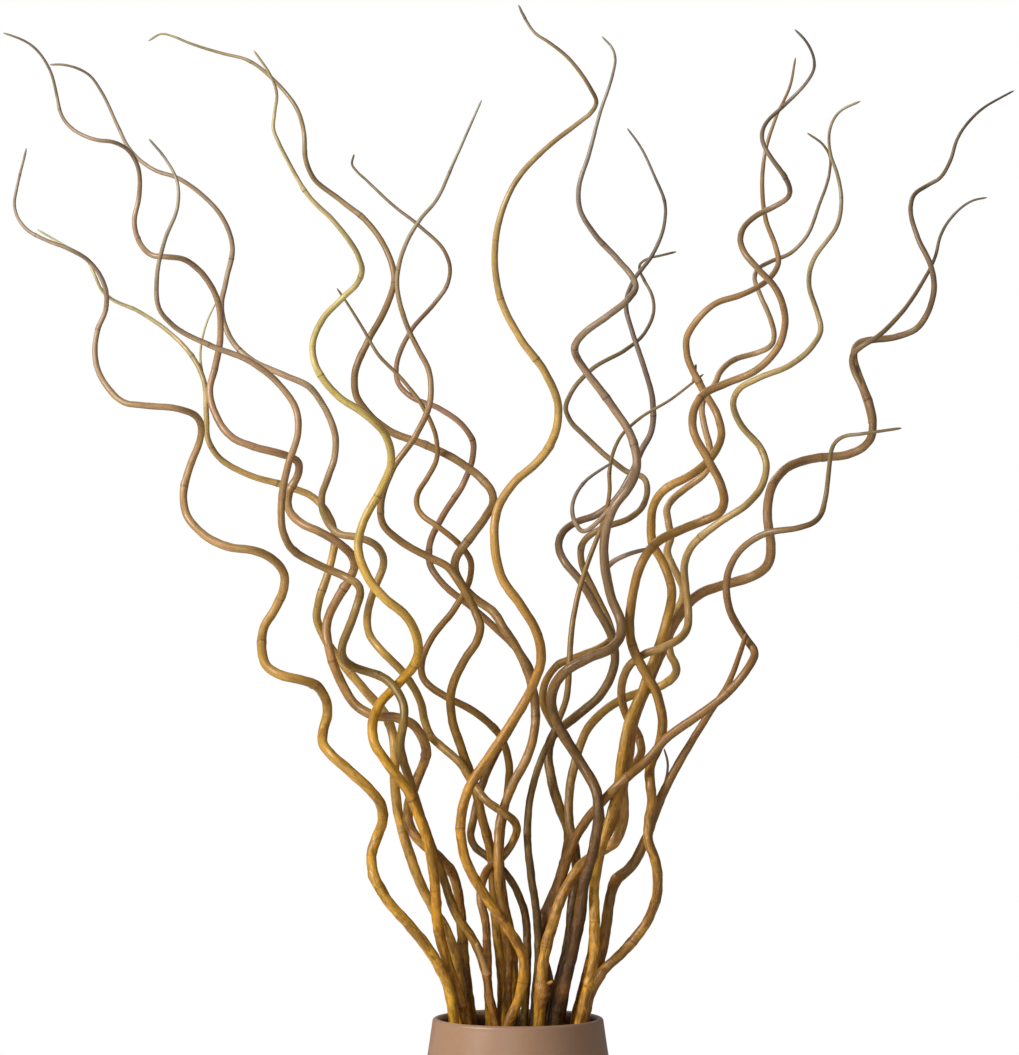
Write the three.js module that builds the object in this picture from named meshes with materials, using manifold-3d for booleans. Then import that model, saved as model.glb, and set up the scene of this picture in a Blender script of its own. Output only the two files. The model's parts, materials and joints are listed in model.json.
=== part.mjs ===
// Curly willow stems standing loose in a plain ceramic vase.
// Millimetres, +Z up; the flat foot of the vase stands on z = 0 and its axis is the Z axis.
// The stems fan out to the left and right (X) and lean a little forward and back (Y).

import * as THREE from 'three';
import Module from 'manifold-3d';

// ---- vase: a tapered, softly bellied pot with a rounded lip
const VASE_HEIGHT = 265;
const LIP_THICKNESS = 6;
const WALL_THICKNESS = 6.2;
const FLOOR_THICKNESS = 9;
const FOOT_RADIUS = 60;
const FLOOR_RADIUS = 56;
const VASE_SEGMENTS = 48;
const SIDE_STEPS = 10;
const VASE_SIDE = [[65, 5], [81, 30], [91, 75], [91, 120], [84, 190], [75.2, 245], [72.8, 262]];
const LIP_ANGLES = [30, 70, 110, 150];

// ---- stems: each one is a list of bends [x, z] going up from the rim
const TUBE_SIDES = 6;
const FINE_STEP = 6;
const RING_TURN = 0.45;
const RING_REACH = 30;
const LEAST_STEPS = 4;
const CURVE_DIVISIONS = 30;
const FOOT_GAP = 0.6;
const FOOT_DRAW_IN = 0.78;
const WAIST_HEIGHT = 130;
const WAIST_DRAW_IN = 0.88;
const LEAN_SHAPE = 1.3;

// ---- curl: depth of the corkscrew, and how soon above the rim it begins
const CURL_DEPTH = 22;
const CURL_START = 150;
const CURL_WINDOW = 15;
const SLOPE_WINDOW = 2;
const TWIG_CURL_GAIN = 3;

// ---- fan: stems leaning back open wider and reach higher than those leaning forward
const FAN_REACH = 3900;
const FAN_LEVEL = 682;
const FAN_START = 80;

// ---- clearance kept between neighbouring stems and between stems and the vase
const STEM_GAP = 3.6;
const WALL_GAP = 3;
const LIP_REACH = 40;
const LIP_FLARE = 0.3;
const SPREAD_ROUNDS = 260;
const SPREAD_EASE = 5;
const PUSH_SHARE = 0.5;
const PUSH_EXTRA = 0.02;
const PUSH_GAIN = 1.6;
const CROWD_TOP = 330;
const CROWD_FADE = 60;
const CROWD_DEPTH_CUT = 0.5;
const CROWD_SIDE_PUSH = 0.15;
const TWIG_HOLD = 8;
const TWIG_FREE = 5;
const PLACE_GAP = 8;
const SLAB_HEIGHT = 16;

const BARK = {
  golden: { color: 0xc8952f, roughness: 0.62 },
  amber: { color: 0x9c6b25, roughness: 0.66 },
  khaki: { color: 0x9a8348, roughness: 0.68 },
  brown: { color: 0x7d5a33, roughness: 0.7 },
  grey_brown: { color: 0x76634f, roughness: 0.74 },
  dark_brown: { color: 0x5a4029, roughness: 0.74 },
};
const CLAY = { color: 0xa9826a, roughness: 0.85 };

// row is the depth of the stem at the rim, lean its depth at the tip, twist the hand of the curl;
// base and tip are radii, and taper says how long the stem keeps its thickness.
const STEMS = [
  {
    name: 'stem_left_1', bark: 'amber', row: -14, lean: -50, twist: 1, base: 4.6, tip: 1.0, taper: 1.9,
    bends: [
      [-54, 264], [-59, 295], [-79, 328], [-112, 366], [-125, 398], [-115, 434], [-118, 449],
      [-144, 475], [-166, 499], [-162, 526], [-170, 546], [-206, 558], [-216, 568], [-216, 596],
      [-207, 611], [-198, 638], [-207, 653], [-221, 661], [-246, 665], [-264, 673], [-284, 698],
      [-279, 732], [-269, 764], [-276, 778], [-317, 785], [-337, 789], [-357, 815], [-358, 846],
      [-349, 876], [-366, 909], [-402, 926], [-417, 934], [-428, 955], [-423, 981], [-418, 1004],
    ],
  },
  {
    name: 'stem_left_2', bark: 'khaki', row: 12, lean: 60, twist: -1, base: 4.6, tip: 0.9, taper: 1.6,
    bends: [
      [-45, 264], [-47, 284], [-56, 326], [-64, 346], [-73, 358], [-90, 398], [-103, 445], [-105, 471],
      [-105, 496], [-108, 513], [-117, 528], [-147, 563], [-171, 605], [-163, 636], [-156, 677],
      [-170, 704], [-201, 718], [-226, 725], [-257, 744], [-264, 759], [-265, 794], [-275, 832],
      [-304, 857], [-338, 872], [-352, 881], [-368, 911], [-394, 925], [-409, 935],
    ],
    twigs: [
      {
        lean: 14, twist: -1, base: 1.2, tip: 0.8, taper: 1.0,
        bends: [
          [-267, 812], [-270, 832], [-266, 852], [-256, 874],
        ],
      },
    ],
  },
  {
    name: 'stem_left_3', bark: 'brown', row: 24, lean: -70, twist: 1, base: 4.4, tip: 0.9, taper: 1.9,
    bends: [
      [-42, 264], [-45, 292], [-47, 322], [-48, 347], [-56, 388], [-76, 409], [-92, 427], [-89, 458],
      [-78, 492], [-92, 516], [-126, 523], [-141, 534], [-159, 573], [-163, 592], [-160, 609],
      [-139, 652], [-164, 676], [-181, 683], [-196, 704], [-186, 730], [-188, 738], [-238, 755],
      [-250, 765], [-262, 795], [-254, 832], [-255, 873], [-273, 902], [-286, 910], [-315, 915],
      [-326, 941], [-322, 964], [-322, 983], [-329, 999], [-340, 1008], [-358, 1011], [-377, 1019],
      [-388, 1032], [-395, 1063], [-405, 1082], [-419, 1095], [-438, 1102],
    ],
  },
  {
    name: 'stem_left_4', bark: 'brown', row: -20, lean: 110, twist: 1, base: 3.6, tip: 1.0, taper: 2.4,
    bends: [
      [-19, 264], [-26, 296], [-26, 339], [-32, 369], [-26, 390], [-17, 397], [-1, 427], [-31, 453],
      [-49, 481], [-76, 507], [-81, 528], [-88, 545], [-100, 561], [-125, 588], [-128, 605],
      [-124, 624], [-114, 655], [-126, 670], [-155, 678], [-167, 702], [-156, 740], [-155, 758],
      [-174, 798], [-190, 807], [-225, 823], [-239, 834], [-252, 868], [-244, 907], [-243, 925],
      [-250, 943], [-275, 970], [-290, 979], [-304, 983], [-329, 1002], [-347, 1038], [-363, 1065],
      [-387, 1075], [-398, 1075],
    ],
  },
  {
    name: 'stem_left_5', bark: 'brown', row: 0, lean: -120, twist: -1, base: 3.9, tip: 1.0, taper: 2.4,
    bends: [
      [-24, 264], [-27, 301], [-38, 332], [-54, 356], [-65, 388], [-77, 420], [-90, 460], [-100, 496],
      [-97, 528], [-110, 551], [-143, 565], [-150, 575], [-141, 604], [-135, 631], [-167, 648],
      [-196, 668], [-200, 717], [-188, 757], [-187, 775], [-196, 795], [-232, 825], [-275, 842],
      [-304, 865], [-306, 904], [-295, 941], [-289, 957], [-292, 982], [-314, 1012],
    ],
  },
  {
    name: 'stem_left_6', bark: 'golden', row: -4, lean: -150, twist: 1, base: 4.5, tip: 1.0, taper: 1.9,
    bends: [
      [-44, 264], [-54, 292], [-67, 335], [-71, 381], [-76, 411], [-94, 458], [-118, 491], [-124, 506],
      [-116, 534], [-104, 546], [-85, 573], [-92, 602], [-122, 630], [-136, 666], [-128, 694],
      [-110, 727], [-108, 744], [-114, 762], [-128, 776], [-158, 798], [-175, 830], [-164, 862],
      [-139, 886], [-133, 898], [-135, 910], [-156, 941], [-182, 968], [-201, 1004], [-208, 1019],
      [-206, 1055], [-225, 1087],
    ],
  },
  {
    name: 'stem_left_7', bark: 'dark_brown', row: -6, lean: 120, twist: -1, base: 4.0, tip: 0.9, taper: 2.5,
    bends: [
      [-10, 264], [-8, 318], [-14, 360], [-17, 400], [-14, 437], [-3, 466], [13, 500], [14, 534],
      [6, 566], [-10, 592], [-18, 607], [-44, 628], [-54, 651], [-38, 676], [-21, 703], [-24, 715],
      [-54, 740], [-94, 758], [-115, 767], [-137, 793], [-139, 809], [-126, 843], [-115, 862],
      [-105, 896], [-119, 930], [-133, 946], [-164, 970], [-176, 982], [-181, 998], [-183, 1027],
      [-201, 1055], [-228, 1078], [-266, 1088], [-303, 1101], [-314, 1095],
    ],
  },
  {
    name: 'stem_left_8', bark: 'brown', row: 20, lean: 170, twist: 1, base: 3.4, tip: 1.0, taper: 2.4,
    bends: [
      [5, 264], [7, 284], [8, 326], [3, 364], [-14, 392], [-39, 414], [-37, 437], [-27, 472],
      [-5, 513], [7, 534], [12, 553], [7, 568], [-17, 594], [-48, 621], [-60, 630], [-76, 655],
      [-68, 684], [-47, 717], [-38, 754], [-60, 779], [-88, 791], [-99, 800], [-104, 814], [-95, 840],
      [-86, 856], [-61, 885], [-59, 910], [-86, 940], [-102, 952], [-119, 968], [-141, 991],
      [-137, 996], [-139, 999],
    ],
  },
  {
    name: 'stem_mid_1', bark: 'brown', row: 12, lean: -60, twist: -1, base: 4.2, tip: 0.9, taper: 1.8,
    bends: [
      [-14, 264], [-14, 305], [-19, 347], [-21, 381], [-22, 400], [-31, 437], [-35, 456], [-48, 494],
      [-58, 534], [-48, 564], [-32, 594], [-43, 622], [-60, 648], [-79, 658], [-111, 679], [-117, 693],
      [-109, 727], [-97, 744], [-76, 783], [-76, 815], [-93, 848], [-103, 891], [-100, 910],
      [-85, 941], [-72, 956], [-55, 991], [-39, 1027], [-31, 1045],
    ],
  },
  {
    name: 'stem_mid_2', bark: 'brown', row: 34, lean: 40, twist: 1, base: 3.5, tip: 1.0, taper: 2.3,
    bends: [
      [-4, 264], [-3, 305], [-5, 330], [-14, 381], [-14, 428], [-8, 462], [-10, 494], [-27, 518],
      [-55, 534], [-79, 551], [-82, 566], [-70, 593], [-47, 622], [-40, 652], [-58, 675], [-83, 694],
      [-86, 707], [-71, 734], [-68, 749], [-79, 781], [-99, 808], [-123, 834], [-135, 857],
      [-154, 885],
    ],
  },
  {
    name: 'stem_mid_3', bark: 'golden', row: -40, lean: -170, twist: 1, base: 4.3, tip: 1.0, taper: 2.4,
    bends: [
      [-8, 264], [3, 292], [5, 312], [0, 329], [-14, 347], [-29, 370], [-48, 411], [-45, 452],
      [-34, 472], [-7, 513], [8, 537], [20, 577], [4, 613], [-8, 628], [-17, 649], [-19, 692],
      [-3, 720], [25, 747], [34, 785], [17, 823], [2, 842], [-11, 864], [-20, 910], [-12, 957],
      [-2, 976], [27, 1007], [44, 1020], [65, 1038], [66, 1045], [38, 1085], [12, 1104], [0, 1126],
    ],
  },
  {
    name: 'stem_mid_4', bark: 'grey_brown', row: -10, lean: -90, twist: -1, base: 4.6, tip: 0.9, taper: 2.3,
    bends: [
      [33, 264], [42, 305], [48, 330], [55, 373], [59, 394], [65, 411], [68, 449], [63, 466],
      [42, 499], [28, 533], [37, 556], [67, 574], [82, 581], [88, 596], [76, 629], [66, 648],
      [62, 666], [71, 681], [81, 698], [100, 727], [97, 757], [88, 774], [63, 807], [48, 834],
      [63, 853], [80, 864], [100, 886], [85, 909], [71, 923], [53, 951], [51, 966], [60, 998],
      [69, 1032], [79, 1061], [82, 1085], [71, 1099],
    ],
    twigs: [
      {
        lean: 30, twist: 1, base: 2.2, tip: 1.2, taper: 1.0,
        bends: [
          [61, 664], [46, 694], [57, 721], [79, 736],
        ],
      },
      {
        lean: 18, twist: -1, base: 2.6, tip: 1.5, taper: 1.0,
        bends: [
          [71, 636], [76, 648], [87, 656], [118, 665],
        ],
      },
    ],
  },
  {
    name: 'stem_mid_5', bark: 'grey_brown', row: 30, lean: 110, twist: 1, base: 4.5, tip: 0.9, taper: 1.7,
    bends: [
      [31, 264], [26, 292], [20, 335], [23, 352], [37, 388], [43, 422], [32, 452], [26, 494],
      [31, 506], [60, 529], [74, 545], [83, 575], [71, 605], [53, 636], [36, 659], [36, 673],
      [44, 683], [75, 697], [97, 728], [105, 747], [113, 762], [114, 795], [101, 836], [92, 872],
      [97, 889], [116, 916], [126, 948], [123, 964], [110, 993], [105, 1004], [93, 1021],
    ],
  },
  {
    name: 'stem_mid_6', bark: 'brown', row: 18, lean: 170, twist: -1, base: 3.5, tip: 1.0, taper: 2.4,
    bends: [
      [37, 264], [45, 305], [55, 356], [60, 394], [66, 409], [70, 443], [59, 474], [48, 491],
      [26, 521], [21, 539], [31, 562], [71, 580], [80, 589], [71, 615], [55, 649], [54, 664],
      [61, 675], [89, 687], [103, 695], [110, 717], [104, 726], [93, 729], [65, 752], [42, 777],
      [42, 789], [63, 816], [94, 834], [106, 844], [116, 872], [104, 905], [135, 916],
    ],
  },
  {
    name: 'stem_mid_7', bark: 'khaki', row: 6, lean: 40, twist: 1, base: 3.7, tip: 1.0, taper: 1.4,
    bends: [
      [14, 264], [17, 301], [18, 326], [14, 369], [10, 394], [8, 420], [10, 449], [21, 488], [40, 531],
      [44, 573], [45, 590], [54, 636], [64, 664], [77, 702], [79, 738], [92, 765], [128, 789],
      [158, 812],
    ],
  },
  {
    name: 'stem_right_1', bark: 'brown', row: -2, lean: -70, twist: 1, base: 4.3, tip: 1.0, taper: 2.5,
    bends: [
      [57, 264], [66, 296], [87, 318], [110, 347], [117, 363], [118, 392], [110, 421], [114, 447],
      [112, 477], [122, 502], [120, 534], [112, 551], [96, 585], [98, 626], [112, 663], [142, 681],
      [172, 695], [175, 709], [162, 738], [148, 769], [156, 793], [187, 808], [206, 818], [226, 846],
      [221, 881], [199, 907], [190, 920], [190, 933], [199, 944], [230, 963], [230, 973], [210, 1004],
      [207, 1015], [213, 1028], [237, 1050], [252, 1074], [243, 1097], [235, 1105],
    ],
  },
  {
    name: 'stem_right_2', bark: 'amber', row: -24, lean: 60, twist: -1, base: 4.4, tip: 1.0, taper: 2.3,
    bends: [
      [52, 264], [64, 313], [65, 364], [65, 388], [73, 417], [84, 454], [90, 496], [99, 530],
      [108, 547], [121, 587], [131, 624], [121, 656], [114, 670], [116, 702], [125, 714], [156, 732],
      [173, 760], [162, 793], [153, 806], [143, 840], [165, 870], [199, 883], [221, 904], [209, 951],
      [209, 993], [218, 1027], [226, 1042], [235, 1070], [236, 1081],
    ],
  },
  {
    name: 'stem_right_3', bark: 'brown', row: 2, lean: 150, twist: 1, base: 4.0, tip: 1.0, taper: 2.1,
    bends: [
      [28, 264], [31, 282], [42, 326], [47, 373], [50, 404], [46, 417], [43, 449], [47, 471],
      [56, 505], [82, 532], [100, 540], [129, 551], [135, 562], [130, 573], [130, 602], [141, 625],
      [127, 661], [130, 672], [127, 698], [134, 708], [161, 730], [164, 743], [160, 760], [157, 789],
      [166, 801], [173, 815], [184, 824], [214, 835], [218, 847], [212, 866], [202, 898], [239, 920],
      [256, 955], [266, 992], [262, 1004], [246, 1017],
    ],
  },
  {
    name: 'stem_right_4', bark: 'khaki', row: 29, lean: -130, twist: -1, base: 3.7, tip: 1.0, taper: 2.4,
    bends: [
      [49, 264], [62, 313], [65, 364], [70, 405], [82, 435], [86, 463], [103, 485], [105, 496],
      [88, 534], [93, 561], [102, 571], [131, 583], [142, 592], [145, 607], [142, 637], [142, 654],
      [149, 667], [166, 682], [204, 711], [210, 741], [188, 771], [183, 785], [186, 797], [199, 806],
      [235, 822], [257, 848], [249, 879], [247, 894], [252, 911], [272, 940], [274, 970], [264, 1008],
      [270, 1032], [291, 1044],
    ],
  },
  {
    name: 'stem_right_5', bark: 'dark_brown', row: -10, lean: 80, twist: 1, base: 4.7, tip: 0.9, taper: 2.4,
    bends: [
      [18, 264], [21, 309], [29, 343], [42, 377], [60, 400], [82, 414], [90, 438], [88, 449],
      [93, 479], [98, 516], [110, 547], [124, 581], [138, 608], [156, 626], [197, 639], [211, 648],
      [215, 659], [212, 696], [215, 714], [224, 728], [240, 738], [282, 744], [297, 753], [302, 766],
      [293, 796], [276, 827], [280, 835], [319, 843], [335, 848], [346, 859], [354, 890], [350, 907],
      [336, 938], [336, 963], [359, 979], [367, 992], [377, 1019], [397, 1039], [422, 1053],
    ],
    twigs: [
      {
        lean: 26, twist: -1, base: 2.9, tip: 0.9, taper: 1.0,
        bends: [
          [300, 776], [298, 789], [284, 820], [286, 830], [310, 847], [335, 876], [354, 910],
          [363, 938], [386, 959], [399, 962],
        ],
      },
    ],
  },
  {
    name: 'stem_right_6', bark: 'brown', row: 16, lean: -110, twist: -1, base: 4.1, tip: 1.1, taper: 2.6,
    bends: [
      [24, 264], [21, 292], [22, 330], [33, 367], [43, 403], [50, 420], [72, 449], [89, 466],
      [112, 486], [130, 506], [155, 523], [184, 547], [201, 575], [195, 585], [179, 615], [181, 651],
      [204, 674], [221, 678], [254, 688], [263, 717], [267, 749], [275, 758], [291, 761], [326, 766],
    ],
  },
  {
    name: 'stem_right_7', bark: 'dark_brown', row: 13, lean: -30, twist: 1, base: 4.8, tip: 1.8, taper: 2.2,
    bends: [
      [56, 264], [70, 313], [76, 352], [83, 381], [94, 391], [112, 424], [124, 462], [134, 480],
      [158, 517], [172, 537], [183, 558], [194, 592],
    ],
    twigs: [
      {
        lean: -4, twist: 1, base: 1.4, tip: 0.8, taper: 1.0,
        bends: [
          [128, 467], [128, 477], [124, 494],
        ],
      },
    ],
  },
];

const wasm = await Module();
wasm.setup();

function smoothStep(value) {
  const t = THREE.MathUtils.clamp(value, 0, 1);
  return t * t * (3 - 2 * t);
}

// ---- vase --------------------------------------------------------------------------------

const vaseCurve = new THREE.SplineCurve(VASE_SIDE.map(([r, z]) => new THREE.Vector2(r, z)));
const vaseSide = vaseCurve.getSpacedPoints(SIDE_STEPS);

// The outline from the middle of the foot, up the side, over the lip and down to the inside floor.
function vaseProfile() {
  const lipRadius = LIP_THICKNESS / 2;
  const top = vaseSide[vaseSide.length - 1];
  const lipCentre = new THREE.Vector2(top.x - lipRadius, VASE_HEIGHT - lipRadius);
  const lip = LIP_ANGLES.map((degrees) => {
    const angle = THREE.MathUtils.degToRad(degrees);
    return new THREE.Vector2(
      lipCentre.x + lipRadius * Math.cos(angle),
      lipCentre.y + lipRadius * Math.sin(angle),
    );
  });
  const inside = vaseSide
    .slice(1)
    .reverse()
    .map((point) => new THREE.Vector2(point.x - WALL_THICKNESS, point.y));
  return [
    new THREE.Vector2(0, 0),
    new THREE.Vector2(FOOT_RADIUS, 0),
    ...vaseSide,
    ...lip,
    ...inside,
    new THREE.Vector2(FLOOR_RADIUS, FLOOR_THICKNESS),
    new THREE.Vector2(0, FLOOR_THICKNESS),
  ];
}

// Radius of the free space inside the vase at a height.
function innerRadius(height) {
  const upper = vaseSide.findIndex((point) => height <= point.y);
  if (upper < 1) return vaseSide[vaseSide.length - 1].x - LIP_THICKNESS;
  const low = vaseSide[upper - 1];
  const high = vaseSide[upper];
  const wall = THREE.MathUtils.mapLinear(height, low.y, high.y, low.x, high.x) - WALL_THICKNESS;
  return Math.min(wall, FLOOR_RADIUS - FLOOR_THICKNESS + height);
}

function buildVase() {
  const geometry = new THREE.LatheGeometry(vaseProfile(), VASE_SEGMENTS);
  geometry.rotateX(Math.PI / 2);
  return namedMesh('vase', geometry, CLAY);
}

// ---- stem routes ---------------------------------------------------------------------------

// Points at even steps along a smooth curve through the given bends.
function evenPoints(points) {
  const curve = new THREE.CatmullRomCurve3(points, false, 'centripetal');
  curve.arcLengthDivisions = points.length * CURVE_DIVISIONS;
  const steps = Math.max(LEAST_STEPS, Math.round(curve.getLength() / FINE_STEP));
  return curve.getSpacedPoints(steps);
}

// Depth of the corkscrew at a point: it swings forward where the stem bends one way from its
// general course and back where it bends the other way.
function curlOf(points, index, twist) {
  const last = points.length - 1;
  const ahead = points[Math.min(last, index + SLOPE_WINDOW)];
  const behind = points[Math.max(0, index - SLOPE_WINDOW)];
  const farAhead = points[Math.min(last, index + CURL_WINDOW)];
  const farBehind = points[Math.max(0, index - CURL_WINDOW)];
  const near = new THREE.Vector2(ahead.x - behind.x, ahead.z - behind.z).normalize();
  const far = new THREE.Vector2(farAhead.x - farBehind.x, farAhead.z - farBehind.z).normalize();
  return twist * CURL_DEPTH * (near.x * far.y - near.y * far.x);
}

// The middle line of a stem from its foot on the vase floor to its tip, with its radius.
function stemRoute(stem) {
  const rimX = stem.bends[0][0];
  const below = [
    [rimX * FOOT_DRAW_IN, FLOOR_THICKNESS + FOOT_GAP],
    [rimX * WAIST_DRAW_IN, WAIST_HEIGHT],
  ];
  const flat = [...below, ...stem.bends].map(([x, z]) => new THREE.Vector3(x, 0, z));
  const points = evenPoints(flat);
  const rimIndex = points.findIndex((point) => point.z >= VASE_HEIGHT);
  const above = points.length - 1 - rimIndex;
  return points.map((point, index) => {
    const climb = Math.max(0, index - rimIndex) / above;
    const settle = THREE.MathUtils.lerp(FOOT_DRAW_IN, 1, Math.min(1, index / rimIndex));
    const curl = curlOf(points, index, stem.twist) * smoothStep((point.z - VASE_HEIGHT) / CURL_START);
    const lean = (stem.lean - stem.row) * climb ** LEAN_SHAPE;
    const thickness = 1 - climb ** stem.taper;
    return {
      x: point.x,
      y: stem.row * settle + lean + curl,
      z: point.z,
      radius: stem.tip + (stem.base - stem.tip) * thickness,
    };
  });
}

// The middle line of a side twig, from the middle of its parent stem to its tip.
function twigRoute(twig, parent) {
  const [startX, startZ] = twig.bends[0];
  let fork = 0;
  parent.forEach((point, index) => {
    const best = Math.hypot(parent[fork].x - startX, parent[fork].z - startZ);
    if (Math.hypot(point.x - startX, point.z - startZ) < best) fork = index;
  });
  const start = new THREE.Vector3(parent[fork].x, 0, parent[fork].z);
  const rest = twig.bends.slice(1).map(([x, z]) => new THREE.Vector3(x, 0, z));
  const points = evenPoints([start, ...rest]);
  const last = points.length - 1;
  const route = points.map((point, index) => {
    const climb = index / last;
    const curl = curlOf(points, index, twig.twist) * smoothStep(climb * TWIG_CURL_GAIN);
    return {
      x: point.x,
      y: parent[fork].y + twig.lean * climb + curl,
      z: point.z,
      radius: THREE.MathUtils.lerp(twig.base, twig.tip, climb ** twig.taper),
    };
  });
  return { route, fork };
}

// Where a point really stands once the fan has opened with its depth.
function openFan(point) {
  const share = smoothStep((point.z - VASE_HEIGHT) / FAN_START);
  const spread = 1 + (share * point.y) / FAN_REACH;
  return new THREE.Vector3(point.x * spread, point.y, FAN_LEVEL + (point.z - FAN_LEVEL) * spread);
}

// ---- spreading the stems so that no two of them touch ---------------------------------------

// How two points of different stems stand to each other, or nothing when they are well apart.
function contactOf(a, b) {
  const need = a.point.radius + b.point.radius + STEM_GAP;
  const placeA = openFan(a.point);
  const placeB = openFan(b.point);
  const dx = placeB.x - placeA.x;
  const dy = placeB.y - placeA.y;
  const dz = placeB.z - placeA.z;
  const across = dx * dx + dz * dz;
  if (across >= need * need || across + dy * dy >= need * need) return undefined;
  return { a, b, need, dx, dy, across };
}

// The larger of two pushes, whichever way it points.
function strongest(current, step) {
  return Math.abs(step) > Math.abs(current) ? step : current;
}

// Push the two stems apart in depth, all along one place where they touch; between the crowded
// feet they also move sideways.
function pushApart(contacts) {
  const lean = contacts.reduce((sum, contact) => sum + contact.dy, 0);
  const side = lean >= 0 ? 1 : -1;
  for (const { a, b, need, dx, dy, across } of contacts) {
    const crowd = THREE.MathUtils.clamp((CROWD_TOP - a.point.z) / CROWD_FADE, 0, 1);
    const wanted = Math.sqrt(need * need - across) - side * dy;
    const step = side * (PUSH_SHARE * wanted + PUSH_EXTRA) * (1 - CROWD_DEPTH_CUT * crowd);
    const sideways = CROWD_SIDE_PUSH * crowd * (need - Math.abs(dx)) * (dx >= 0 ? 1 : -1);
    const pushA = a.line.pushes[a.index];
    const pushB = b.line.pushes[b.index];
    pushA.y = strongest(pushA.y, -step);
    pushB.y = strongest(pushB.y, step);
    pushA.x = strongest(pushA.x, -sideways);
    pushB.x = strongest(pushB.x, sideways);
  }
}

// Move each point by the pushes around it, so that a stem bends softly and never kinks.
function easePushes(line) {
  const last = line.route.length - 1;
  line.route.forEach((point, index) => {
    let x = 0;
    let y = 0;
    let total = 0;
    for (let offset = -SPREAD_EASE; offset <= SPREAD_EASE; offset += 1) {
      const near = index + offset;
      if (near >= 0 && near <= last) {
        const weight = 1 - Math.abs(offset) / (SPREAD_EASE + 1);
        x += weight * line.pushes[near].x;
        y += weight * line.pushes[near].y;
        total += weight;
      }
    }
    point.x += (PUSH_GAIN * x) / total;
    point.y += (PUSH_GAIN * y) / total;
  });
}

// Hold the stems inside the wall, the floor corner and the flared rim.
function keepInsideVase(route) {
  for (const point of route) {
    const rise = point.z - VASE_HEIGHT;
    if (rise < LIP_REACH) {
      const flare = Math.max(0, rise) * LIP_FLARE;
      const limit = innerRadius(point.z) + flare - point.radius - WALL_GAP;
      const reach = Math.hypot(point.x, point.y);
      if (reach > limit) {
        point.x *= limit / reach;
        point.y *= limit / reach;
      }
    }
  }
}

// Bring the root of a twig back to its parent stem.
function holdTwig(line, lines) {
  if (line.parent === undefined) return;
  const anchor = lines[line.parent].route[line.fork];
  const dx = anchor.x - line.route[0].x;
  const dy = anchor.y - line.route[0].y;
  line.route.forEach((point, index) => {
    const share = Math.max(0, 1 - index / TWIG_HOLD);
    point.x += dx * share;
    point.y += dy * share;
  });
}

// The first points of a twig lie inside its parent and don't count as touching it.
function sameRoot(lineA, lineB, indexA, indexB) {
  const aOnB = lineA.parent === lineB.index && indexA < TWIG_FREE;
  const bOnA = lineB.parent === lineA.index && indexB < TWIG_FREE;
  return aOnB || bOnA;
}

// Every contact between two stems, gathered into one list for each place where they touch.
function findTouches(lines) {
  const slabs = new Map();
  for (const line of lines) {
    line.route.forEach((point, index) => {
      const key = Math.floor(point.z / SLAB_HEIGHT);
      if (!slabs.has(key)) slabs.set(key, []);
      slabs.get(key).push({ line, index, point });
    });
  }
  const pairs = new Map();
  for (const [key, here] of slabs) {
    const around = [...here, ...(slabs.get(key + 1) ?? [])];
    here.forEach((first, position) => {
      for (let other = position + 1; other < around.length; other += 1) {
        const second = around[other];
        const swap = first.line.index > second.line.index;
        const [a, b] = swap ? [second, first] : [first, second];
        const apart = a.line === b.line || sameRoot(a.line, b.line, a.index, b.index);
        const contact = apart ? undefined : contactOf(a, b);
        if (contact) {
          const pair = `${a.line.index}:${b.line.index}`;
          if (!pairs.has(pair)) pairs.set(pair, []);
          pairs.get(pair).push(contact);
        }
      }
    });
  }
  return [...pairs.values()].flatMap(splitPlaces);
}

// Contacts of one pair, split wherever the stems part between two places.
function splitPlaces(contacts) {
  const sorted = contacts.sort((first, second) => first.a.index - second.a.index);
  const places = [[sorted[0]]];
  sorted.slice(1).forEach((contact, position) => {
    const gap = contact.a.index - sorted[position].a.index;
    if (gap > PLACE_GAP) places.push([]);
    places[places.length - 1].push(contact);
  });
  return places;
}

function spreadStems(lines) {
  for (let round = 0; round < SPREAD_ROUNDS; round += 1) {
    const places = findTouches(lines);
    if (places.length === 0) return;
    for (const line of lines) line.pushes = line.route.map(() => ({ x: 0, y: 0 }));
    places.forEach(pushApart);
    for (const line of lines) {
      easePushes(line);
      keepInsideVase(line.route);
    }
    for (const line of lines) holdTwig(line, lines);
  }
}

// ---- solids --------------------------------------------------------------------------------

// Keep a ring wherever the stem has turned enough or run far enough since the last one.
function chooseRings(points) {
  const rings = [0];
  let turned = 0;
  let run = 0;
  for (let i = 1; i < points.length - 1; i += 1) {
    const before = points[i].place.clone().sub(points[i - 1].place);
    const after = points[i + 1].place.clone().sub(points[i].place);
    turned += before.angleTo(after);
    run += before.length();
    if (turned > RING_TURN || run > RING_REACH) {
      rings.push(i);
      turned = 0;
      run = 0;
    }
  }
  rings.push(points.length - 1);
  return rings.map((index) => points[index]);
}

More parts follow.
